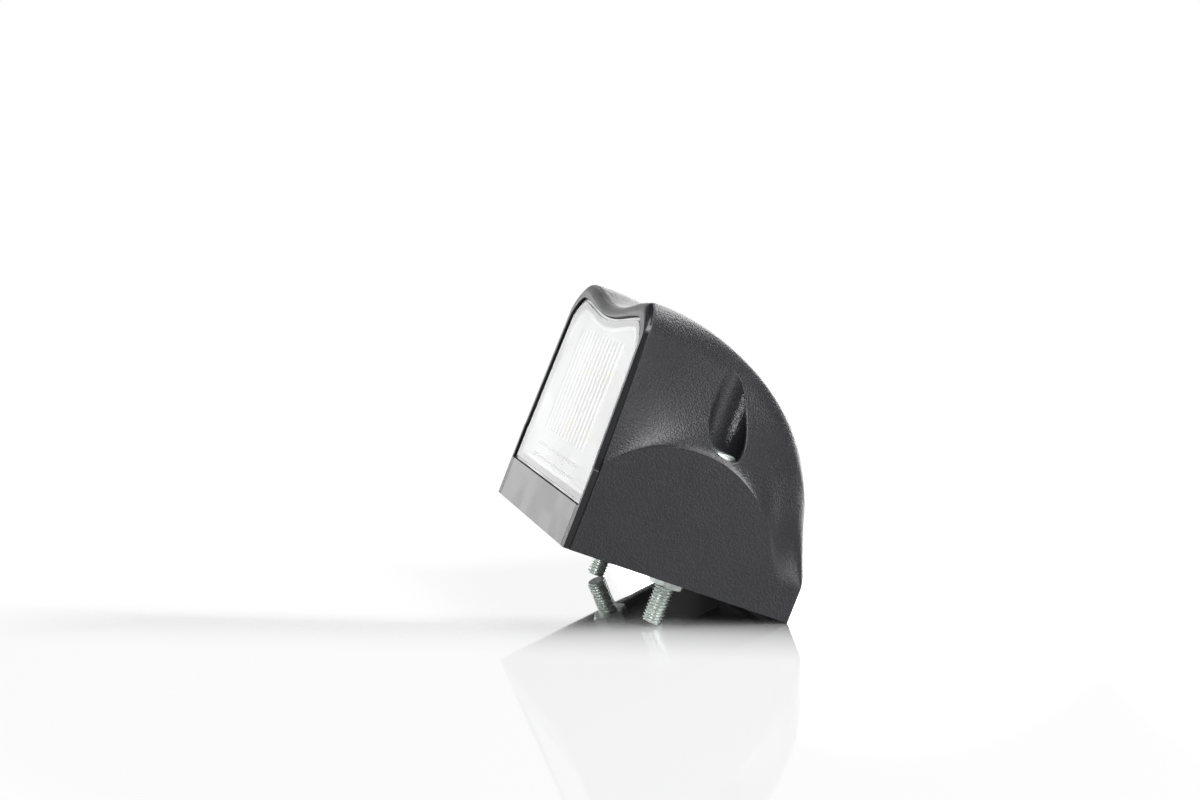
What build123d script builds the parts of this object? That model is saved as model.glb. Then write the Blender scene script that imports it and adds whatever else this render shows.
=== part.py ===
import os
from math import cos, hypot, radians, sin, sqrt

from build123d import *

# Number plate lamp, millimetres. The origin is the middle of the bolt pattern
# on the mounting plane. The lens looks along -Y and the hood rises along +Z.

# Fixing bolts and nuts
bolt_spacing = 45.0
bolt_setback = 30.5           # front plane to the bolt line
bolt_margin = 8.5             # bolt line to the end panels
bolt_diameter = 5.0
bolt_length = 40.0
bolt_clearance = 0.25
bolt_point = 0.4              # chamfer at the free end
shank_undercut = 0.27         # plain shank inside the crests of the thread
thread_gap = 0.4              # nut to the start of the full thread
head_diameter = 9.4
head_height = 3.6
head_crown = 1.1
drive_width = 1.3
drive_length = 5.4
drive_depth = 1.8
nut_flats = 8.0
nut_height = 4.0
nut_bore_gap = 0.03
nut_chamfer = 0.4

# Hood: overall sizes
hood_depth = 60.0
front_height = 59.0
front_round = 2.4             # rounded upper front edge
hood_wall = 2.4
skirt_height = 7.7            # upright band round the foot of the hood

# Hood: side profile of the crown
crown_power = 1.67            # how soon the crown starts to fall
crown_fullness = 3.2          # how far it stays out before it turns down
crown_swell = 2.0             # rise of the crown behind the front
crown_overrun = 0.65          # the profile would turn upright this far behind the back

# Hood: shoulders, ridges and scoop
shoulder_inset = 2.0          # shoulders at the front, inside the end panels
waist_inset = 14.3            # shoulders further back
waist_start = 1.31            # how gently the narrowing begins behind the front
waist_power = 4.9
tail_flare = 3.7              # widening towards the back face
tail_power = 4.3
shoulder_share = 0.867        # height of the shoulder line within the crown
crest_share = 0.78            # place of the ridge crest within the half width
front_lean = 4.5              # degrees that the side walls lean in at the front
back_lean = 34.0
scoop_depth = 3.5             # hollow along the middle of the top
scoop_fade = 1.5

# Hood: pull of the curves, as shares of their spans
ledge_pull = 0.35
cove_pull = 0.385
ridge_pull = 0.48
crest_pull = 0.77
brow_pull = 0.3
scoop_pull = 0.45

# Hood: flat arched end panels
arch_radius = 28.5
arch_top = 30.7
arch_setback = 23.4           # front plane to the middle of the arch
arch_blend = 4.0              # softness of the turn from the arch to the skirt
ledge_rise = 0.25             # height of the ledge's upright start within the cove
ledge_start = 0.5             # share of the depth where the ledge begins to turn upright
ledge_end = 0.82              # share of the depth where it runs smoothly out of the panel
back_round = 0.7              # rounded edge of the back face

# Hood: smooth lip round the front
lip_depth = 1.6
lip_step = 0.35

# Bolt recesses and posts in the hood
recess_clearance = 0.7
recess_floor = 28.8
recess_wall = 1.8
recess_edge = 0.4             # rounded mouth of the recess
post_wall = 2.25

# Lens and its opening
lens_side_rim = 1.2
lens_top_rim = 3.9
lens_recess = 0.45
lens_thickness = 1.3
lens_skirt_wall = 1.4
lens_skirt_depth = 0.2
lens_draft = 0.5              # the opening narrows this much on its way in
lens_scoop = 2.4              # dip in the upper edge of the lens
sill_height = 10.0
fit_gap = 0.15

# Lens optics: flutes and bars on the inner face
flute_pitch = 2.6
flute_count = 13
flute_rise = 0.7
flute_gap = 3.9               # upper bar to the foot of the flutes
flute_margin = 4.9            # top of the flutes to the lens edge
bar_gap = 4.0                 # sill to the lower bar
bar_pitch = 3.1
bar_rise = 0.6

# Base plate and its seal
base_underside = 2.0          # recess of the plate above the mounting plane
base_thickness = 3.2
base_flange = 1.0             # rim of the plate that covers the seal
sill_thickness = 2.4
plate_corner = 2.5            # rounded back corners of the plate
seal_width = 1.6
seal_lift = 0.4               # the seal lies this far inside the plate's underside
seal_gap = 0.05
rib_width = 1.2
rib_drop = 1.1
cross_rib_setback = 16.0
cross_rib_inset = 8.0
long_rib_gap = 6.5            # grommet flange to the long rib
long_rib_inset = 3.0

# Cable grommet
grommet_gap = 4.3             # cross rib to the grommet flange
grommet_bore = 4.6
grommet_waist = 7.0
grommet_flange = 10.0
grommet_flange_height = 1.1
grommet_edge = 0.5

# Reflector tray
tray_wall = 1.2
tray_flange = 0.8
tray_rim = 0.6                # wall of the flange round the lens edge
tray_rim_set = 0.3            # lens face to that wall
tray_depth = 10.6             # flange to the back of the floor
tray_mouth_inset = 3.0
tray_floor_inset = 17.4       # end panels to the tray floor
tray_floor_rise = 6.0         # sill to the tray floor
tray_floor_drop = 13.0        # front height to the tray floor
pillar_diameter = 4.6
pillar_step = 4.0             # tray floor to the screw pillars

# Circuit board and what is on it
board_margin = 2.4            # screw pillars to the board's ends
board_overlap = 1.0           # board beyond the tray floor, up and down
board_thickness = 1.6
board_corner = 6.0
led_size = 3.5
led_height = 1.1
led_dome_diameter = 2.8
led_dome = 0.35
led_columns = 14.0            # spacing across
led_rows = 15.0               # spacing up
led_window_gap = 0.5
resistor_length = 3.2
resistor_width = 1.6
resistor_height = 0.6
resistor_pitch = 3.4
resistor_count = 4
resistor_rise = 8.0           # board's middle to the resistor row
rectifier_width = 6.4
rectifier_length = 5.0
rectifier_height = 2.4
rectifier_edge = 0.4
capacitor_diameter = 6.3
capacitor_height = 5.6
capacitor_edge = 0.5
parts_column = 8.5            # rectifier and capacitor, each side of the middle
terminal_rise = 5.0           # board's lower edge to the terminals
terminal_diameter = 1.3
terminal_length = 5.0
terminal_pitch = 5.0
screw_diameter = 2.2
screw_length = 6.0
screw_point = 0.5
screw_head_diameter = 4.4
screw_head_height = 1.6
screw_head_edge = 0.6
screw_slot = 0.5
screw_gap = 0.05
board_hole_gap = 0.1

# Derived places
front_y = -bolt_setback
back_y = front_y + hood_depth
bolt_x = bolt_spacing / 2
half_width = bolt_x + bolt_margin
inner_half = half_width - hood_wall
inner_back = back_y - hood_wall
bolt_hole = bolt_diameter + 2 * bolt_clearance
shank_diameter = bolt_diameter - 2 * shank_undercut
recess_diameter = head_diameter + 2 * recess_clearance
base_top = base_underside + base_thickness
lens_face = front_y + lens_recess
lens_inner = lens_face + lens_thickness
lens_back = lens_inner + lens_skirt_depth
lens_seat = lens_back + tray_flange
lens_edge = 2 * fit_gap + tray_rim
rim_face = lens_face + tray_rim_set
cross_rib_y = front_y + cross_rib_setback
grommet_y = cross_rib_y + rib_width + grommet_gap + grommet_flange / 2
long_rib_y = grommet_y + grommet_flange / 2 + long_rib_gap
tray_floor_half = half_width - tray_floor_inset
tray_floor_bottom = sill_height + tray_floor_rise
tray_floor_top = front_height - tray_floor_drop
pillar_x = tray_floor_half + pillar_step
board_half = pillar_x + board_margin
board_bottom = tray_floor_bottom - board_overlap
board_top = tray_floor_top + board_overlap
board_middle = (board_bottom + board_top) / 2
board_face = lens_back + tray_depth
board_back = board_face + board_thickness
overcut = 1.0

# Places along the depth where the hood's cross sections are drawn
crown_shares = (0.10, 0.23, 0.41, 0.56, 0.69, 0.77, 0.84, 0.90, 0.96, 0.985, 1.0)


def arch_height(setback):
    """Height of the end panel at a distance behind the front, blended into the skirt."""
    offset = setback - arch_setback
    arch = arch_top - arch_radius + sqrt(max(arch_radius**2 - offset**2, 0))
    return (arch + skirt_height + sqrt((arch - skirt_height) ** 2 + arch_blend**2)) / 2


def half_outline(side, foot, arch, waist, lean, top, scoop, upturn):
    """Points of one half of a cross section: panel, cove, ridge and scoop."""
    shoulder = skirt_height + shoulder_share * (top - skirt_height)
    crest = crest_share * waist
    lean_x = sin(radians(lean))
    lean_z = cos(radians(lean))
    cove = cove_pull * (shoulder - arch)
    ridge = ridge_pull * (top - shoulder)
    width = side - waist
    panel = [(side, foot), (side, arch)]
    flank = [
        (side, arch),
        (side - ledge_pull * (1 - upturn) * width, arch + ledge_rise * upturn * (shoulder - arch)),
        (waist + cove * lean_x, shoulder - cove * lean_z),
        (waist, shoulder),
    ]
    rounding = [
        (waist, shoulder),
        (waist - ridge * lean_x, shoulder + ridge * lean_z),
        (waist - crest_pull * (waist - crest), top),
        (crest, top),
    ]
    low = top - scoop
    hollow = [(crest, top), (crest - brow_pull * crest, top), (scoop_pull * crest, low), (0, low)]
    return panel, flank, rounding, hollow


def closed_outline(y, half):
    """Wire at depth y from a half outline and its mirror image."""
    right = []
    left = []
    for points in half:
        make = Line if len(points) == 2 else Bezier
        right.append(make(*[(x, y, z) for x, z in points]))
        left.append(make(*[(-x, y, z) for x, z in reversed(points)]))
    side, foot = half[0][0]
    bottom = Line((-side, y, foot), (side, y, foot))
    return Wire([bottom] + right + left[::-1])


def hood_section(share, inset, top_extra=0.0):
    """Cross section of the hood, or of its hollow when an inset is given."""
    y = front_y + share * (hood_depth - inset)
    turn = share * hood_depth / (hood_depth + crown_overrun)
    fall = (1 - turn**crown_power) ** (1 / crown_fullness)
    top = skirt_height + (front_height - skirt_height) * fall
    top += 4 * crown_swell * turn * (1 - turn)
    if not inset:
        ahead = max(front_round - share * hood_depth, 0)
        top -= front_round - sqrt(front_round**2 - ahead**2)
    narrowing = (1 - turn**waist_start) ** waist_power
    waist = half_width - waist_inset + (waist_inset - shoulder_inset) * narrowing
    waist += tail_flare * turn**tail_power
    half = half_outline(
        half_width - inset,
        -overcut,
        arch_height(share * hood_depth) - inset,
        waist - inset,
        front_lean + (back_lean - front_lean) * turn,
        top - inset - top_extra * (1 - share) ** 3,
        scoop_depth * (1 - turn) ** scoop_fade,
        min(max(share - ledge_start, 0) / (ledge_end - ledge_start), 1),
    )
    return closed_outline(y, half)


def front_outline(y, foot, side_inset, top_inset, scoop):
    """Outline of the front, pulled in at the sides and the top, standing on a foot."""
    half = half_outline(
        half_width - side_inset,
        foot,
        max(arch_height(0), foot + overcut),
        half_width - shoulder_inset - side_inset,
        front_lean,
        front_height - top_inset,
        scoop,
        0,
    )
    return closed_outline(y, half)


def lens_outline(y, gap, foot):
    """Outline of the lens opening at depth y, less a gap."""
    inset = gap + lens_draft * (y - front_y) / (lens_seat - front_y)
    return front_outline(y, foot, lens_side_rim + inset, lens_top_rim + inset, lens_scoop)


def block(x0, x1, y0, y1, z0, z1):
    return Pos((x0 + x1) / 2, (y0 + y1) / 2, (z0 + z1) / 2) * Box(x1 - x0, y1 - y0, z1 - z0)


def pad(x, z, width, height, y0, y1):
    """Block on the circuit board, centred on x and z."""
    return block(x - width / 2, x + width / 2, y0, y1, z - height / 2, z + height / 2)


def upright(x, y, z0, z1, diameter):
    return Pos(x, y, (z0 + z1) / 2) * Cylinder(diameter / 2, z1 - z0)


def along_y(x, z, y0, y1, diameter):
    return Pos(x, (y0 + y1) / 2, z) * Rot(90, 0, 0) * Cylinder(diameter / 2, y1 - y0)


def bolt_places():
    return (-bolt_x, bolt_x)


def led_places():
    for column in (-0.5, 0.5):
        for row in (-0.5, 0.5):
            yield column * led_columns, board_middle + row * led_rows


def screw_places():
    return ((-pillar_x, board_middle), (pillar_x, board_middle))


def on_recess(edge):
    """Whether an edge runs round the mouth of a bolt recess."""
    for share in (0, 0.5, 1):
        point = edge @ share
        reach = hypot(abs(point.X) - bolt_x, point.Y)
        if abs(reach - recess_diameter / 2) > fit_gap / 2:
            return False
    return True


def make_hood():
    edge_shares = [front_round * (1 - cos(radians(turn))) / hood_depth for turn in (0, 30, 60, 90)]
    body = Solid.make_loft([hood_section(share, 0) for share in edge_shares])
    body += Solid.make_loft([hood_section(share, 0) for share in (edge_shares[-1], *crown_shares)])
    back = body.faces().sort_by(Axis.Y)[-1]
    body = fillet([edge for edge in back.edges() if (edge @ 0.5).Z > 0], back_round)
    top_extra = lens_top_rim + lens_side_rim - hood_wall
    hollow = Solid.make_loft([hood_section(share, hood_wall, top_extra) for share in (0, *crown_shares)])
    hollow -= block(-half_width, half_width, front_y - overcut, lens_seat, sill_height, front_height)
    ceiling = front_height + crown_swell + overcut
    shell = body - hollow
    for x in bolt_places():
        shell += upright(x, 0, base_top, recess_floor, bolt_hole + 2 * post_wall)
        tube = upright(x, 0, recess_floor - hood_wall, ceiling, recess_diameter + 2 * recess_wall)
        shell += tube & body
    for x in bolt_places():
        shell -= upright(x, 0, recess_floor, ceiling, recess_diameter)
        shell -= upright(x, 0, 0, recess_floor, bolt_hole)
    mouths = [edge for edge in shell.edges().filter_by(GeomType.BSPLINE) if on_recess(edge)]
    shell = fillet(mouths, recess_edge)
    shell -= Solid.make_loft([lens_outline(y, 0, sill_height) for y in (front_y - overcut, lens_seat)])
    wide = half_width + overcut
    collar = block(-wide, wide, front_y, front_y + lip_depth, -overcut, front_height - 2 * front_round)
    lip = Face(front_outline(front_y, -overcut, lip_step, lip_step, scoop_depth))
    shell -= collar - extrude(lip, amount=lip_depth, dir=(0, 1, 0))
    shell -= block(-wide, wide, front_y - overcut, back_y + overcut, -2 * overcut, 0)
    return shell


def make_base():
    step_z = base_top - base_flange
    plate_half = inner_half - seal_width
    plate_back = inner_back - seal_width
    plate = block(-plate_half, plate_half, front_y, plate_back, base_underside, step_z)
    plate = fillet(plate.edges().filter_by(Axis.Z).group_by(Axis.Y)[-1], plate_corner)
    flange_half = inner_half - fit_gap
    flange = block(-flange_half, flange_half, front_y, inner_back - fit_gap, step_z, base_top)
    sill = block(-flange_half, flange_half, front_y, front_y + sill_thickness, 0, sill_height)
    base = plate + flange + sill
    rib_z = base_underside - rib_drop
    rib_half = plate_half - cross_rib_inset
    base += block(-rib_half, rib_half, cross_rib_y, cross_rib_y + rib_width, rib_z, base_underside)
    rib_end = plate_back - long_rib_inset
    base += block(-rib_width / 2, rib_width / 2, long_rib_y, rib_end, rib_z, base_underside)
    for x in bolt_places():
        base -= upright(x, 0, 0, base_top + overcut, bolt_hole)
    base -= upright(0, grommet_y, 0, base_top + overcut, grommet_waist + 2 * seal_gap)
    return base


def make_base_seal():
    outer = inner_half - seal_gap
    inner = inner_half - seal_width + seal_gap
    start_y = front_y + sill_thickness + seal_gap
    low = base_underside + seal_lift
    high = base_top - base_flange
    ring = block(-outer, outer, start_y, inner_back - seal_gap, low, high)
    core = block(-inner, inner, start_y - overcut, inner_back - seal_width + seal_gap, low, high)
    return ring - fillet(core.edges().filter_by(Axis.Z).group_by(Axis.Y)[-1], plate_corner)


def make_lens():
    skirt = lens_edge + lens_skirt_wall
    outer = [lens_outline(y, lens_edge, sill_height + lens_edge) for y in (lens_face, lens_back)]
    inner = [lens_outline(y, skirt, sill_height + skirt) for y in (lens_inner, lens_back + overcut)]
    lens = Solid.make_loft(outer) - Solid.make_loft(inner)
    flute_radius = (flute_pitch**2 / 4 + flute_rise**2) / (2 * flute_rise)
    flute_y = lens_inner + flute_rise - flute_radius
    flute_half = flute_pitch * flute_count / 2
    bars = [sill_height + bar_gap, sill_height + bar_gap + bar_pitch]
    flute_bottom = bars[-1] + flute_gap
    flute_top = front_height - lens_top_rim - lens_scoop - flute_margin
    inside = block(-half_width, half_width, lens_inner - lens_thickness / 2, lens_seat, 0, front_height)
    for index in range(flute_count):
        x = flute_pitch * (index + 0.5) - flute_half
        lens += upright(x, flute_y, flute_bottom, flute_top, 2 * flute_radius) & inside
    for z in bars:
        bar = Pos(0, lens_inner, z) * Rot(0, 90, 0) * Cylinder(bar_rise, 2 * flute_half)
        lens += bar & inside
    return lens


def tray_outline(y, grow):
    """Section of the reflector between its mouth and its floor, with its wall if grown."""
    share = (y - lens_back) / tray_depth
    mouth = tray_mouth_inset + lens_draft
    side = lens_side_rim + mouth + share * (tray_floor_inset - lens_side_rim - mouth)
    top = lens_top_rim + mouth + share * (tray_floor_drop - lens_top_rim - mouth)
    foot = sill_height + tray_mouth_inset + share * (tray_floor_rise - tray_mouth_inset)
    return front_outline(y, foot - grow, side - grow, top - grow, lens_scoop)


def make_reflector():
    flange = [lens_outline(y, fit_gap, sill_height + fit_gap) for y in (rim_face, lens_seat)]
    rim = fit_gap + tray_rim
    socket = [lens_outline(y, rim, sill_height + rim) for y in (rim_face - overcut, lens_back)]
    walls = [tray_outline(y, tray_wall) for y in (lens_back, board_face)]
    tray = Solid.make_loft(flange) - Solid.make_loft(socket) + Solid.make_loft(walls)
    for x, z in screw_places():
        tray += along_y(x, z, lens_back, board_face, pillar_diameter)
    tray -= Solid.make_loft([tray_outline(y, 0) for y in (lens_back - overcut, board_face - tray_wall)])
    window = led_size + 2 * led_window_gap
    for x, z in led_places():
        tray -= pad(x, z, window, window, lens_back, board_face)
    depth = screw_length - board_thickness + overcut
    for x, z in screw_places():
        tray -= along_y(x, z, board_face - depth, board_face, screw_diameter + 2 * screw_gap)
    return tray


def make_circuit_board():
    board = block(-board_half, board_half, board_face, board_back, board_bottom, board_top)
    board = fillet(board.edges().filter_by(Axis.Y), board_corner)
    for x, z in screw_places():
        board -= along_y(x, z, board_face, board_back, screw_diameter + 2 * board_hole_gap)
    return board


def make_leds():
    body_front = board_face - led_height + led_dome
    leds = []
    for x, z in led_places():
        dome = along_y(x, z, body_front - led_dome, body_front, led_dome_diameter)
        leds.append(dome + pad(x, z, led_size, led_size, body_front, board_face))
    return Compound(leds)


def make_resistors():
    z = board_middle + resistor_rise
    row = []
    for index in range(resistor_count):
        x = resistor_pitch * (index - (resistor_count - 1) / 2)
        row.append(pad(x, z, resistor_width, resistor_length, board_back, board_back + resistor_height))
    return Compound(row)


def make_rectifier():
    top_y = board_back + rectifier_height
    body = pad(-parts_column, board_middle, rectifier_width, rectifier_length, board_back, top_y)
    return chamfer(body.faces().sort_by(Axis.Y)[-1].edges(), rectifier_edge)


def make_capacitor():
    top_y = board_back + capacitor_height
    can = along_y(parts_column, board_middle, board_back, top_y, capacitor_diameter)
    return chamfer(can.edges().sort_by(Axis.Y)[-1], capacitor_edge)


def make_wire_terminals():
    z = board_bottom + terminal_rise
    pins = []
    for x in (-terminal_pitch / 2, terminal_pitch / 2):
        pins.append(along_y(x, z, board_back, board_back + terminal_length, terminal_diameter))
    return Compound(pins)


def make_board_screws():
    top_y = board_back + screw_head_height
    screws = []
    for x, z in screw_places():
        head = along_y(x, z, board_back, top_y, screw_head_diameter)
        head = chamfer(head.edges().sort_by(Axis.Y)[-1], screw_head_edge)
        head -= pad(x, z, screw_slot, screw_head_diameter, top_y - screw_slot, top_y)
        shank = along_y(x, z, board_back - screw_length, board_back, screw_diameter)
        screws.append(head + chamfer(shank.edges().sort_by(Axis.Y)[0], screw_point))
    return Compound(screws)


def make_mounting_bolts():
    top_z = recess_floor + head_height
    thread_end = base_underside - nut_height - thread_gap
    bolts = []
    for x in bolt_places():
        thread = upright(x, 0, recess_floor - bolt_length, thread_end, bolt_diameter)
        thread = chamfer(thread.edges().sort_by(Axis.Z)[0], bolt_point)
        shank = upright(x, 0, thread_end, recess_floor, shank_diameter)
        head = upright(x, 0, recess_floor, top_z, head_diameter)
        head = fillet(head.edges().sort_by(Axis.Z)[-1], head_crown)
        for turn in (0, 90):
            blade = Rot(0, 0, turn) * Box(drive_length, drive_width, 2 * drive_depth)
            head -= Pos(x, 0, top_z) * blade
        bolts.append(thread + shank + head)
    return Compound(bolts)


def make_mounting_nuts():
    corner_radius = nut_flats / sqrt(3)
    low = base_underside - nut_height
    nuts = []
    for x in bolt_places():
        prism = extrude(Rot(0, 0, 30) * RegularPolygon(corner_radius, 6), amount=nut_height)
        blank = upright(0, 0, 0, nut_height, 2 * corner_radius)
        blank = chamfer(blank.edges().filter_by(GeomType.CIRCLE), nut_chamfer, 2 * nut_chamfer)
        bore = upright(0, 0, 0, nut_height, shank_diameter + 2 * nut_bore_gap)
        nuts.append(Pos(x, 0, low) * ((prism & blank) - bore))
    return Compound(nuts)


def make_cable_grommet():
    low = base_underside - grommet_flange_height
    high = base_top + grommet_flange_height
    grommet = upright(0, grommet_y, low, high, grommet_waist)
    for start, rim in ((low, 0), (base_top, -1)):
        flange = upright(0, grommet_y, start, start + grommet_flange_height, grommet_flange)
        grommet += chamfer(flange.edges().sort_by(Axis.Z)[rim], grommet_edge)
    return grommet - upright(0, grommet_y, low, high, grommet_bore)


makers = {
    "hood": make_hood,
    "base": make_base,
    "base_seal": make_base_seal,
    "lens": make_lens,
    "reflector": make_reflector,
    "circuit_board": make_circuit_board,
    "leds": make_leds,
    "resistors": make_resistors,
    "rectifier": make_rectifier,
    "capacitor": make_capacitor,
    "wire_terminals": make_wire_terminals,
    "board_screws": make_board_screws,
    "mounting_bolts": make_mounting_bolts,
    "mounting_nuts": make_mounting_nuts,
    "cable_grommet": make_cable_grommet,
}

if __name__ == "__main__":
    os.makedirs("parts", exist_ok=True)
    for name, make in makers.items():
        export_step(make(), f"parts/{name}.step")
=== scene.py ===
import math
import bmesh
import bpy
from mathutils import Matrix, Vector


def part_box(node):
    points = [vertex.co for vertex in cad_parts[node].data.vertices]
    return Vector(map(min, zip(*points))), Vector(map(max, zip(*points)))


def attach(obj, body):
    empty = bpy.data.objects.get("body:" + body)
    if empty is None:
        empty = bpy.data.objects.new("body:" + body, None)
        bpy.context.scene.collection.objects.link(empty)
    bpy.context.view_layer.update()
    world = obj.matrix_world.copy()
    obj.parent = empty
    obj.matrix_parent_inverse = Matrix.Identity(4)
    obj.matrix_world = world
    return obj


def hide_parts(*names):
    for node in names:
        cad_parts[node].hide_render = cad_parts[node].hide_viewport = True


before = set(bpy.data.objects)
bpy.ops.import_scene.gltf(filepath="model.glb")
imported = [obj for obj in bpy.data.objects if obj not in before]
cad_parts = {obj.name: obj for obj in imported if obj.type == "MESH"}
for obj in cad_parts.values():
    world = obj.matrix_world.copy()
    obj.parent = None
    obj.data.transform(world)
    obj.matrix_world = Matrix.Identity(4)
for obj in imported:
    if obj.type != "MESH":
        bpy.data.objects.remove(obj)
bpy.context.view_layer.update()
mm = 0.001
across = Vector((1, 0, 0))  # along the bolt line, towards the camera's side
pureWhite = (1.0, 1.0, 1.0, 1.0)
plasticIor = 1.5
print("frame loaded:", len(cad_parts), "nodes")


# Node helpers

def addNode(tree, kind, wires=None, **settings):
    node = tree.nodes.new("ShaderNode" + kind)
    for key, value in settings.items():
        setattr(node, key, value)
    for key, value in (wires or {}).items():
        if isinstance(value, bpy.types.NodeSocket):
            tree.links.new(value, node.inputs[key])
        else:
            node.inputs[key].default_value = value
    return node


def calc(tree, operation, first, second=0.0, clamp=False):
    wires = {0: first, 1: second}
    return addNode(tree, "Math", wires, operation=operation, use_clamp=clamp).outputs[0]


def ramp(tree, value, low, high, toLow=0.0, toHigh=1.0):
    wires = {"Value": value, "From Min": low, "From Max": high, "To Min": toLow, "To Max": toHigh}
    return addNode(tree, "MapRange", wires, interpolation_type="SMOOTHSTEP").outputs["Result"]


def mixColour(tree, factor, first, second):
    node = addNode(tree, "Mix", {"Factor": factor}, data_type="RGBA")
    for socket, value in ((node.inputs[6], first), (node.inputs[7], second)):  # the colour sockets
        if isinstance(value, bpy.types.NodeSocket):
            tree.links.new(value, socket)
        else:
            socket.default_value = (*value, 1.0)
    return node.outputs[2]


def mixShaders(tree, factor, first, second):
    return addNode(tree, "MixShader", {0: factor, 1: first, 2: second}).outputs["Shader"]


def place(tree):
    return addNode(tree, "TexCoord").outputs["Object"]  # metres in the lamp's own frame


def axes(tree, vector):
    return addNode(tree, "SeparateXYZ", {0: vector}).outputs


def dot(tree, vector, direction):
    wires = {0: vector, 1: direction}
    return addNode(tree, "VectorMath", wires, operation="DOT_PRODUCT").outputs["Value"]


def reflectedOnly(tree, rays):  # rays through the lens count as glossy too
    glossy, through = rays["Is Glossy Ray"], rays["Is Transmission Ray"]
    return calc(tree, "SUBTRACT", glossy, through, clamp=True)


def newGroup(name, inputs, outputs):
    tree = bpy.data.node_groups.new(name, "ShaderNodeTree")
    for key, value in inputs.items():
        socket = tree.interface.new_socket(key, in_out="INPUT", socket_type="NodeSocketFloat")
        socket.default_value = value
    for key in outputs:
        tree.interface.new_socket(key, in_out="OUTPUT", socket_type="NodeSocketFloat")
    given = tree.nodes.new("NodeGroupInput").outputs
    result = tree.nodes.new("NodeGroupOutput").inputs
    return tree, given, result


def useGroup(tree, group, **values):
    node = tree.nodes.new("ShaderNodeGroup")
    node.node_tree = group
    for key, value in values.items():
        node.inputs[key].default_value = value
    return node.outputs


def newMaterial(name, **sockets):
    material = bpy.data.materials.new(name)
    material.use_nodes = True
    tree = material.node_tree
    tree.nodes.clear()
    output = addNode(tree, "OutputMaterial")
    shader = addNode(tree, "BsdfPrincipled")
    tree.links.new(shader.outputs["BSDF"], output.inputs["Surface"])
    for key, value in sockets.items():
        shader.inputs[key.replace("_", " ")].default_value = value
    return material, tree, shader


def paint(tree, shader, mask, colours):
    tree.links.new(mixColour(tree, mask, *colours), shader.inputs["Base Color"])


def roughen(tree, shader, mask, span):
    tree.links.new(ramp(tree, mask, 0.0, 1.0, *span), shader.inputs["Roughness"])


def bump(tree, shader, height, distance):
    wires = {"Height": height, "Distance": distance, "Strength": 1.0}
    tree.links.new(addNode(tree, "Bump", wires).outputs["Normal"], shader.inputs["Normal"])


def dress(node, material):
    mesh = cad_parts[node].data
    mesh.materials.clear()
    mesh.materials.append(material)


def addObject(name, data):
    piece = bpy.data.objects.new(name, data)
    bpy.context.scene.collection.objects.link(piece)
    return piece


# Shared effects: the mould's grain, and smudges from handling

grainLook = {
    "perMetre": 3100.0,
    "detail": 3.0,
    "crispness": 0.6,
    "cellShare": 0.55,  # pits are wider apart than the fine grain
    "pits": (0.1, 0.75),
    "fineHeight": 1.2,
    "specks": (0.55, 0.74),
    "cloudsPerMetre": 95.0,
    "cloudDetail": 4.0,
}
handlingLook = {
    "smudges": 60.0,
    "detail": 5.0,
    "swirl": 0.8,
    "edges": (0.35, 0.7),
}


def makeMouldGrain():
    look = grainLook
    inputs = {"Grains per metre": look["perMetre"]}
    tree, given, result = newGroup("mouldGrain", inputs, ("Height", "Speck", "Cloud"))
    where = place(tree)
    scale = given["Grains per metre"]
    wires = {"Vector": where, "Scale": scale, "Detail": look["detail"], "Roughness": look["crispness"]}
    fine = addNode(tree, "TexNoise", wires).outputs[0]
    wires = {"Vector": where, "Scale": calc(tree, "MULTIPLY", scale, look["cellShare"])}
    pits = ramp(tree, addNode(tree, "TexVoronoi", wires).outputs["Distance"], *look["pits"])
    wires = {"Vector": where, "Scale": look["cloudsPerMetre"], "Detail": look["cloudDetail"]}
    broad = addNode(tree, "TexNoise", wires).outputs[0]
    height = calc(tree, "ADD", calc(tree, "MULTIPLY", fine, look["fineHeight"]), pits)
    tree.links.new(height, result["Height"])
    tree.links.new(ramp(tree, fine, *look["specks"]), result["Speck"])
    tree.links.new(broad, result["Cloud"])
    return tree


def makeHandling():
    look = handlingLook
    tree, given, result = newGroup("handling", {"PerMetre": look["smudges"]}, ("Smudge",))
    wires = {
        "Vector": place(tree),
        "Scale": given["PerMetre"],
        "Detail": look["detail"],
        "Distortion": look["swirl"],
    }
    soft = addNode(tree, "TexNoise", wires).outputs[0]
    tree.links.new(ramp(tree, soft, *look["edges"]), result["Smudge"])
    return tree


mouldGrain = makeMouldGrain()
handling = makeHandling()
print("shared effects ready")


def smudges(tree, perMetre):
    return useGroup(tree, handling, PerMetre=perMetre)["Smudge"]


# Hood: grained black moulding with a smooth lip and glossier bolt recesses

hoodLook = {
    "skin": (0.023, 0.023, 0.027),
    "skinLight": (0.085, 0.085, 0.092),
    "speckShare": 0.75,
    "cloudShare": 0.25,
    "gloss": (0.018, 0.018, 0.020),
    "paintedSheen": (0.16, 0.16, 0.165),  # painted sheen: the grained skin's colour is painted paler at a grazing angle
    "paintedSheenFrom": 0.55,
    "lipDepth": 1.6 * mm,
    "lipSoftness": 0.12 * mm,
    "rimFacing": (-0.75, -0.45),  # the front rim, whose normal is near -Y, keeps its grain
    "boltX": 22.5 * mm,
    "recessRadius": 5.45 * mm,
    "recessFloor": 28.5 * mm,
    "recessCalm": 0.3,
    "smoothRoughness": 0.22,
    "mattRoughness": (0.33, 0.39),
    "smudges": 45.0,
    "grainDepth": 0.04 * mm,
}


def lipMask(tree, at):
    look = hoodLook
    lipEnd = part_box("hood")[0].y + look["lipDepth"]
    lip = ramp(tree, at["Y"], lipEnd + look["lipSoftness"], lipEnd - look["lipSoftness"])
    facing = axes(tree, addNode(tree, "TexCoord").outputs["Normal"])
    return calc(tree, "MULTIPLY", lip, ramp(tree, facing["Y"], *look["rimFacing"]))


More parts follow.
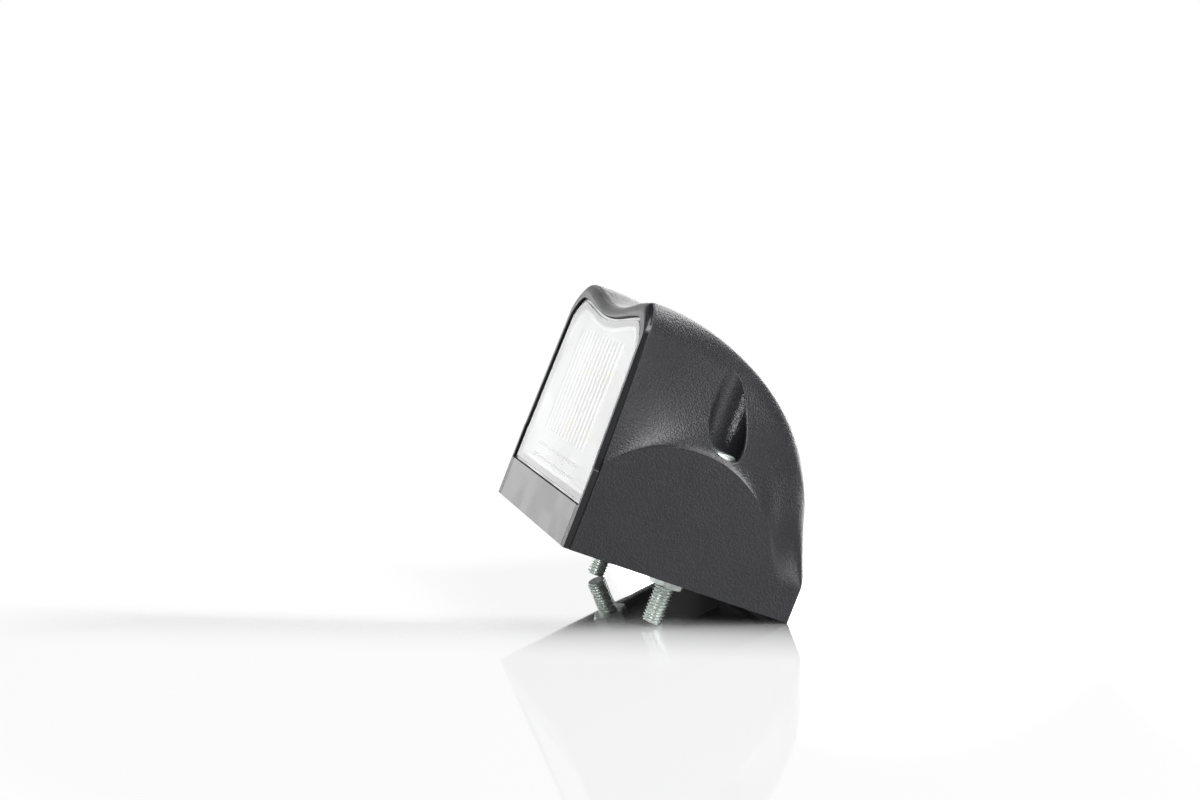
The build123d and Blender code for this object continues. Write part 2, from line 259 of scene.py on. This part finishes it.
def recessMask(tree, at):
    look = hoodLook
    aside = calc(tree, "SUBTRACT", calc(tree, "ABSOLUTE", at["X"]), look["boltX"])
    squares = [calc(tree, "POWER", offset, 2.0) for offset in (aside, at["Y"])]
    reach = calc(tree, "SQRT", calc(tree, "ADD", *squares))
    inside = calc(tree, "LESS_THAN", reach, look["recessRadius"])
    above = calc(tree, "GREATER_THAN", at["Z"], look["recessFloor"])
    return calc(tree, "MULTIPLY", inside, above)


def dressHood():
    look = hoodLook
    material, tree, shader = newMaterial("hoodMoulding", IOR=plasticIor)
    at = axes(tree, place(tree))
    lip = lipMask(tree, at)
    recess = recessMask(tree, at)
    grain = useGroup(tree, mouldGrain)
    specks = calc(tree, "MULTIPLY", grain["Speck"], look["speckShare"])
    clouds = calc(tree, "MULTIPLY", grain["Cloud"], look["cloudShare"])
    skin = mixColour(tree, calc(tree, "ADD", specks, clouds), look["skin"], look["skinLight"])
    # painted sheen: the base colour is mixed towards a pale grey as the surface turns to a grazing
    # angle
    grazing = addNode(tree, "LayerWeight", {"Blend": 0.5}).outputs["Facing"]
    skin = mixColour(tree, ramp(tree, grazing, look["paintedSheenFrom"], 1.0), skin, look["paintedSheen"])
    paint(tree, shader, lip, (skin, look["gloss"]))
    smooth = calc(tree, "MAXIMUM", lip, recess)
    matt = ramp(tree, smudges(tree, look["smudges"]), 0.0, 1.0, *look["mattRoughness"])
    wires = {"Factor": smooth, 2: matt, 3: look["smoothRoughness"]}
    rough = addNode(tree, "Mix", wires, data_type="FLOAT").outputs[0]
    tree.links.new(rough, shader.inputs["Roughness"])
    calm = calc(tree, "MAXIMUM", lip, calc(tree, "MULTIPLY", recess, look["recessCalm"]))
    rise = calc(tree, "MULTIPLY", grain["Height"], calc(tree, "SUBTRACT", 1.0, calm))
    bump(tree, shader, rise, look["grainDepth"])
    dress("hood", material)


# Base, seal and grommet

baseLook = {
    "colours": ((0.024, 0.024, 0.027), (0.036, 0.036, 0.039)),
    "roughness": (0.29, 0.33),
    "smudges": 85.0,
    "waviness": 0.01 * mm,
}
rubberLook = {
    "colours": ((0.015, 0.015, 0.016), (0.035, 0.035, 0.036)),
    "roughness": (0.6, 0.8),
    "smudges": 160.0,
    "grainDepth": 0.02 * mm,
}


def dressBase():
    look = baseLook
    material, tree, shader = newMaterial("baseMoulding", IOR=plasticIor)
    smudge = smudges(tree, look["smudges"])
    paint(tree, shader, smudge, look["colours"])
    roughen(tree, shader, smudge, look["roughness"])
    bump(tree, shader, useGroup(tree, mouldGrain)["Cloud"], look["waviness"])
    dress("base", material)


def dressRubber():
    look = rubberLook
    material, tree, shader = newMaterial("sealRubber", IOR=plasticIor)
    grain = useGroup(tree, mouldGrain)
    paint(tree, shader, smudges(tree, look["smudges"]), look["colours"])
    roughen(tree, shader, grain["Speck"], look["roughness"])
    bump(tree, shader, grain["Height"], look["grainDepth"])
    dress("base_seal", material)
    dress("cable_grommet", material)


# Lens and what shows through it

lensLook = {
    "ior": 1.49,
    "colours": ((0.97, 0.98, 0.985), (0.99, 0.99, 0.99)),
    "roughness": (0.10, 0.16),
    "smudges": 70.0,
}
reflectorLook = {
    "colours": ((0.86, 0.87, 0.88), (0.74, 0.75, 0.77)),
    "roughness": (0.18, 0.3),
    "smudges": 110.0,
}
boardLook = {
    "colours": ((0.80, 0.82, 0.80), (0.70, 0.73, 0.70)),  # solder mask, tracks under it
    "bandScale": 1900.0,  # radians per metre
    "trackEdges": (0.55, 0.8),
    "glossEdges": (0.5, 0.9),
    "roughness": (0.35, 0.28),
}
ledLook = {
    "case": (0.88, 0.88, 0.86),
    "phosphor": ((0.90, 0.74, 0.20), (0.93, 0.80, 0.32)),
    "domeHeight": 0.36 * mm,
    "roughness": (0.4, 0.25),  # case, dome
    "smudges": 600.0,
}


def dressLens():
    look = lensLook
    material, tree, shader = newMaterial("lensClear", IOR=look["ior"], Transmission_Weight=1.0)
    smudge = smudges(tree, look["smudges"])
    paint(tree, shader, smudge, look["colours"])
    roughen(tree, shader, smudge, look["roughness"])
    dress("lens", material)


def dressReflector():
    look = reflectorLook
    material, tree, shader = newMaterial("reflectorBright", IOR=plasticIor)
    smudge = smudges(tree, look["smudges"])
    paint(tree, shader, smudge, look["colours"])
    roughen(tree, shader, smudge, look["roughness"])
    dress("reflector", material)


def dressBoard():
    look = boardLook
    material, tree, shader = newMaterial("boardMask", IOR=plasticIor)
    at = axes(tree, place(tree))
    slant = calc(tree, "ADD", at["X"], at["Z"])
    bands = calc(tree, "SINE", calc(tree, "MULTIPLY", slant, look["bandScale"]))
    paint(tree, shader, ramp(tree, bands, *look["trackEdges"]), look["colours"])
    rough = ramp(tree, bands, *look["glossEdges"], *look["roughness"])
    tree.links.new(rough, shader.inputs["Roughness"])
    dress("circuit_board", material)


def dressLeds():
    look = ledLook
    material, tree, shader = newMaterial("ledPhosphor", IOR=plasticIor)
    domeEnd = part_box("leds")[0].y + look["domeHeight"]
    dome = calc(tree, "LESS_THAN", axes(tree, place(tree))["Y"], domeEnd)
    yellow = mixColour(tree, smudges(tree, look["smudges"]), *look["phosphor"])
    paint(tree, shader, dome, (look["case"], yellow))
    roughen(tree, shader, dome, look["roughness"])
    dress("leds", material)


# Small parts behind the board: two colours and the span of roughness

smallParts = {
    "resistors": ((0.035, 0.035, 0.035), (0.06, 0.06, 0.06), (0.5, 0.65)),
    "rectifier": ((0.025, 0.025, 0.026), (0.045, 0.045, 0.045), (0.45, 0.6)),
}
metalParts = {
    "capacitor": ((0.72, 0.73, 0.74), (0.62, 0.63, 0.65), (0.32, 0.44)),
    "wire_terminals": ((0.74, 0.72, 0.66), (0.62, 0.60, 0.54), (0.3, 0.42)),
    "board_screws": ((0.62, 0.63, 0.64), (0.48, 0.49, 0.50), (0.28, 0.4)),
}
metalSmudges = 300.0


def dressSmallParts():
    for node, (colour, shade, roughness) in smallParts.items():
        material, tree, shader = newMaterial(node + "Body", IOR=plasticIor)
        grain = useGroup(tree, mouldGrain)
        paint(tree, shader, grain["Cloud"], (colour, shade))
        roughen(tree, shader, grain["Speck"], roughness)
        dress(node, material)
    for node, (colour, shade, roughness) in metalParts.items():
        material, tree, shader = newMaterial(node + "Metal", Metallic=1.0)
        smudge = smudges(tree, metalSmudges)
        paint(tree, shader, smudge, (colour, shade))
        roughen(tree, shader, smudge, roughness)
        dress(node, material)


# Bolts with their thread, and the nuts

boltLook = {
    "pitch": 0.8 * mm,
    "threadDepth": 0.42 * mm,
    "crest": 0.125,  # shares of the pitch that are flat
    "root": 0.25,
    "radius": 2.5 * mm,
    "tipRadius": 2.1 * mm,
    "headRadius": 4.7 * mm,
    "headHeight": 3.6 * mm,
    "stub": 0.2 * mm,
    "threadLength": 18.0 * mm,
    "turnSteps": 40,
    "pitchSteps": 10,
    "headWeld": 1e-6,  # metres, as are the next two
    "threadWeld": 2e-6,
    "sliver": 1e-7,
    "zinc": ((0.74, 0.79, 0.76), (0.60, 0.65, 0.62)),
    "roughness": (0.34, 0.46),
    "smudges": 220.0,
    "waviness": 0.012 * mm,
}


def threadRadius(phase):
    look = boltLook
    crest, root = look["crest"], look["root"]
    flank = (1.0 - crest - root) / 2
    if phase < crest:
        share = 0.0
    elif phase < crest + flank:
        share = (phase - crest) / flank
    elif phase < crest + flank + root:
        share = 1.0
    else:
        share = (1.0 - phase) / flank
    return look["radius"] - look["threadDepth"] * share


def shankRings(mesh, x, tipZ, threadEnd, rows):
    look = boltLook
    turn, steps = look["turnSteps"], look["pitchSteps"]
    rise = look["pitch"] / steps
    rings = []
    for row in range(rows + 1):
        ring = []
        for step in range(turn):
            z = tipZ + (row - steps + step * steps / turn) * rise  # a ring climbs one pitch per turn
            angle = 2 * math.pi * step / turn
            if z <= tipZ:
                z, radius = tipZ, look["tipRadius"]
            elif z >= threadEnd:
                z, radius = threadEnd, look["radius"]
            else:
                radius = min(threadRadius(row % steps / steps), look["tipRadius"] + z - tipZ)
            ring.append(mesh.verts.new((x + radius * math.cos(angle), radius * math.sin(angle), z)))
        rings.append(ring)
    return rings


def addShank(mesh, x, tipZ, threadEnd, topZ):
    look = boltLook
    turn, steps = look["turnSteps"], look["pitchSteps"]
    rows = int(round((threadEnd - tipZ) / (look["pitch"] / steps))) + 2 * steps
    rings = shankRings(mesh, x, tipZ, threadEnd, rows)
    for row in range(rows):
        for step in range(turn):
            last = step == turn - 1
            lift = steps if last else 0  # the end of a turn meets the start of the next
            if row + 1 + lift > rows:
                continue
            here, after = step, 0 if last else step + 1
            low, high = rings[row + lift][after], rings[row + 1 + lift][after]
            mesh.faces.new((rings[row][here], low, high, rings[row + 1][here]))
    top = rings[rows]
    collar = [mesh.verts.new((v.co.x, v.co.y, topZ)) for v in top]
    for step in range(turn):
        after = (step + 1) % turn
        mesh.faces.new((top[step], top[after], collar[after], collar[step]))
    mesh.faces.new(collar)
    mesh.faces.new(list(reversed(rings[0])))


def buildBolts():
    look = boltLook
    lo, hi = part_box("mounting_bolts")
    topZ = hi.z - look["headHeight"] - look["stub"]
    boltX = (hi.x - lo.x) / 2 - look["headRadius"]
    mesh = bmesh.new()
    mesh.from_mesh(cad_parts["mounting_bolts"].data)
    bmesh.ops.remove_doubles(mesh, verts=mesh.verts, dist=look["headWeld"])
    whole = mesh.verts[:] + mesh.edges[:] + mesh.faces[:]
    cut = {"plane_co": (0, 0, topZ), "plane_no": (0, 0, 1)}
    bmesh.ops.bisect_plane(mesh, geom=whole, clear_inner=True, **cut)  # keeps the heads
    bmesh.ops.holes_fill(mesh, edges=[edge for edge in mesh.edges if edge.is_boundary], sides=0)
    for x in (-boltX, boltX):
        addShank(mesh, x, lo.z, lo.z + look["threadLength"], topZ)
    bmesh.ops.remove_doubles(mesh, verts=mesh.verts, dist=look["threadWeld"])
    bmesh.ops.dissolve_degenerate(mesh, edges=mesh.edges, dist=look["sliver"])
    bmesh.ops.recalc_face_normals(mesh, faces=mesh.faces)
    data = bpy.data.meshes.new("threadedBolts")
    mesh.to_mesh(data)
    mesh.free()
    piece = addObject("threadedBolts", data)
    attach(piece, "root")
    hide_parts("mounting_bolts")
    return piece


def dressBolts(piece):
    look = boltLook
    material, tree, shader = newMaterial("zincPlate", Metallic=1.0)
    smudge = smudges(tree, look["smudges"])
    paint(tree, shader, smudge, look["zinc"])
    roughen(tree, shader, smudge, look["roughness"])
    bump(tree, shader, useGroup(tree, mouldGrain)["Cloud"], look["waviness"])
    piece.data.materials.append(material)
    dress("mounting_nuts", material)


dressHood()
dressBase()
dressRubber()
dressLens()
dressReflector()
dressBoard()
dressLeds()
dressSmallParts()
dressBolts(buildBolts())
print("pieces dressed")


# Floor: the lamp leans back on its bolt ends and its lower back edge

floorLook = {
    "colour": (0.93, 0.93, 0.935),
    "bounce": (0.35, 0.35, 0.355),  # what the floor throws back on the lamp
    "halfSize": 1.6,
    "gap": 0.02 * mm,
    "roughness": 0.05,
    "ior": 1.33,
    "mirrorRoughness": 0.04,
    "polish": 0.9,
    "frontPolish": 0.32,
    "edgeAtHeel": 36 * mm,  # the polish ends along a line beside the lamp
    "edgeSlope": 0.406,
    "edgeSoftness": 10 * mm,
    "veil": 0.82,
    "veilWidth": 30 * mm,
    "fadeFrom": 75 * mm,
    "fadeTo": 190 * mm,
    "footDepth": 64 * mm,
    "mirrorFrom": 2 * mm,  # distance from the lamp's footprint
    "mirrorTo": 22 * mm,
    "clearing": 0.97,
}


def restPlane():
    hoodLow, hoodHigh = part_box("hood")
    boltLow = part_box("mounting_bolts")[0]
    heel = Vector((0, hoodHigh.y, hoodLow.z))
    toe = Vector((0, boltLook["tipRadius"], boltLow.z))
    along = (heel - toe).normalized()
    up = across.cross(along)
    return heel - up * floorLook["gap"], along, up


floorPoint, floorAlong, floorUp = restPlane()


def footprintDistance(tree):
    half = floorLook["footDepth"] / 2
    middle = floorPoint.dot(floorAlong) - half
    where = place(tree)
    sideways = calc(tree, "ABSOLUTE", axes(tree, where)["X"])
    sideways = calc(tree, "SUBTRACT", sideways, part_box("hood")[1].x)
    lengthways = calc(tree, "SUBTRACT", dot(tree, where, floorAlong), middle)
    lengthways = calc(tree, "SUBTRACT", calc(tree, "ABSOLUTE", lengthways), half)
    return calc(tree, "MAXIMUM", sideways, lengthways)


def makeFloorGloss():
    look = floorLook
    sockets = {"Roughness": look["roughness"], "IOR": look["ior"]}
    material, tree, shader = newMaterial("floorGloss", **sockets)
    rays = addNode(tree, "LightPath").outputs
    seen = rays["Is Camera Ray"]
    shown = calc(tree, "MAXIMUM", seen, reflectedOnly(tree, rays))
    paint(tree, shader, shown, (look["bounce"], look["colour"]))

    # polished behind the edge line, duller in front of it
    towards = across - floorAlong * look["edgeSlope"]
    ahead = dot(tree, place(tree), towards)
    edge = floorPoint.dot(towards) + look["edgeAtHeel"]
    inFront, atBack = edge + look["edgeSoftness"], edge - look["edgeSoftness"]
    polish = ramp(tree, ahead, inFront, atBack, look["frontPolish"], look["polish"])
    wires = {"Color": pureWhite, "Roughness": look["mirrorRoughness"]}
    mirror = addNode(tree, "BsdfAnisotropic", wires).outputs["BSDF"]
    share = calc(tree, "MULTIPLY", polish, seen)
    polished = mixShaders(tree, share, shader.outputs["BSDF"], mirror)

    # fades to white in front, far off, and away from the lamp's footprint
    veil = ramp(tree, ahead, atBack, edge + look["veilWidth"], 0.0, look["veil"])
    reach = addNode(tree, "VectorMath", {0: place(tree)}, operation="LENGTH").outputs["Value"]
    far = ramp(tree, reach, look["fadeFrom"], look["fadeTo"])
    apart = footprintDistance(tree)
    clearing = ramp(tree, apart, look["mirrorFrom"], look["mirrorTo"], 0.0, look["clearing"])
    clearing = calc(tree, "MULTIPLY", ramp(tree, ahead, inFront, atBack), clearing)
    faded = calc(tree, "MAXIMUM", calc(tree, "MAXIMUM", veil, far), clearing)
    glow = addNode(tree, "Emission", {"Color": pureWhite, "Strength": 1.0}).outputs["Emission"]
    top = mixShaders(tree, calc(tree, "MULTIPLY", faded, seen), polished, glow)

    # clear from below
    clear = addNode(tree, "BsdfTransparent").outputs["BSDF"]
    below = addNode(tree, "NewGeometry").outputs["Backfacing"]
    surface = mixShaders(tree, below, top, clear)
    tree.links.new(surface, tree.nodes["Material Output"].inputs["Surface"])
    return material


def buildFloor():
    half = floorLook["halfSize"]
    corners = []
    for a, b in ((-1, -1), (1, -1), (1, 1), (-1, 1)):
        corners.append(floorPoint + (across * a + floorAlong * b) * half)
    data = bpy.data.meshes.new("floor")
    data.from_pydata(corners, [], [(0, 1, 2, 3)])
    data.materials.append(makeFloorGloss())
    floor = addObject("floor", data)


buildFloor()
print("floor leans", round(math.degrees(math.atan2(floorAlong.z, floorAlong.y)), 2), "degrees")


# Camera, lights and world

cameraLook = {
    "at": Vector((400.22, -164.39, 50.52)) * mm,
    "aim": Vector((0.0, -24.29, 32.91)) * mm,
    "lens": 52.25,
    "sensor": 36.0,
}
lightsLook = {  # degrees: turn from the lamp's back towards the camera's side, lift above the floor
    "key": {"turn": 58, "lift": 34, "size": 0.42, "watts": 3.5},
    "top": {"turn": 60, "lift": 58, "size": 0.42, "watts": 2.4},
    "lowRight": {"turn": 48, "lift": 6, "size": 0.42, "watts": 1.2},
    "lensFill": {"turn": 190, "lift": 20, "size": 0.42, "watts": 1.1},
    "recessGlow": {"turn": 138, "lift": 15, "size": 0.27, "watts": 1.6, "card": True},
    "sillGlow": {"turn": 240, "lift": 6, "size": 0.42, "watts": 1.25, "card": True},
    "rimGlow": {"turn": 244, "lift": 32, "size": 0.42, "watts": 0.3, "card": True},
    "scoopGlow": {"turn": 300, "lift": 6, "size": 0.42, "watts": 1.1, "card": True},
    "backEdge": {"turn": 322, "lift": 5, "size": 0.42, "watts": 2.0, "card": True},
    "topEdge": {"turn": 328, "lift": 32, "size": 0.42, "watts": 2.0, "card": True},
}
lightRig = {
    "centre": Vector((0, 0, 25 * mm)),
    "reach": 0.8,
    "lean": 0.01,  # keeps a lamp's up direction off its line of aim
}
worldLook = {
    "ambient": 0.04,
    "seen": 1.0,
    "backdrop": (-0.5, -0.85),  # cosine to the camera, from the backdrop's edge to its core
    "straight": 0.5,  # diffuse bounces below which a ray still sees the backdrop
}


def aimMatrix(at, aim, up):
    back = (at - aim).normalized()
    right = up.cross(back).normalized()
    turn = Matrix((right, back.cross(right), back)).transposed()
    return Matrix.Translation(at) @ turn.to_4x4()


def buildCamera():
    look = cameraLook
    data = bpy.data.cameras.new("photoCamera")
    data.sensor_fit = "HORIZONTAL"
    data.sensor_width = look["sensor"]
    data.lens = look["lens"]
    camera = addObject("photoCamera", data)
    camera.matrix_world = aimMatrix(look["at"], look["aim"], floorUp)
    bpy.context.scene.camera = camera


def buildLights():
    centre = lightRig["centre"]
    for name, look in lightsLook.items():
        data = bpy.data.lights.new(name, "AREA")
        data.shape = "DISK"
        data.size = look["size"]
        data.energy = look["watts"]
        lamp = addObject(name, data)
        lamp.visible_camera = False
        if look.get("card"):  # only shows in glossy surfaces
            lamp.visible_diffuse = lamp.visible_transmission = False
        turn, lift = math.radians(look["turn"]), math.radians(look["lift"])
        level = floorAlong * math.cos(turn) + across * math.sin(turn)
        at = centre + (level * math.cos(lift) + floorUp * math.sin(lift)) * lightRig["reach"]
        lamp.matrix_world = aimMatrix(at, centre, floorAlong + across * lightRig["lean"])


def buildWorld():
    look = worldLook
    world = bpy.data.worlds.new("studio")
    bpy.context.scene.world = world
    world.use_nodes = True
    tree = world.node_tree
    tree.nodes.clear()
    direction = addNode(tree, "TexCoord").outputs["Generated"]
    toCamera = (cameraLook["at"] - cameraLook["aim"]).normalized()
    backdrop = ramp(tree, dot(tree, direction, toCamera), *look["backdrop"])
    rays = addNode(tree, "LightPath").outputs
    straight = calc(tree, "LESS_THAN", rays["Diffuse Depth"], look["straight"])
    through = calc(tree, "MULTIPLY", rays["Is Transmission Ray"], straight)  # doesn't light the inside
    indirect = calc(tree, "MAXIMUM", reflectedOnly(tree, rays), through)
    indirect = calc(tree, "MULTIPLY", indirect, backdrop)
    seen = calc(tree, "MAXIMUM", rays["Is Camera Ray"], indirect)
    strength = ramp(tree, seen, 0.0, 1.0, look["ambient"], look["seen"])
    sky = addNode(tree, "Background", {"Color": pureWhite, "Strength": strength})
    tree.links.new(sky.outputs["Background"], addNode(tree, "OutputWorld").inputs["Surface"])


buildCamera()
buildLights()
buildWorld()
bpy.context.scene.view_settings.view_transform = "Standard"
print("camera, light and world set")
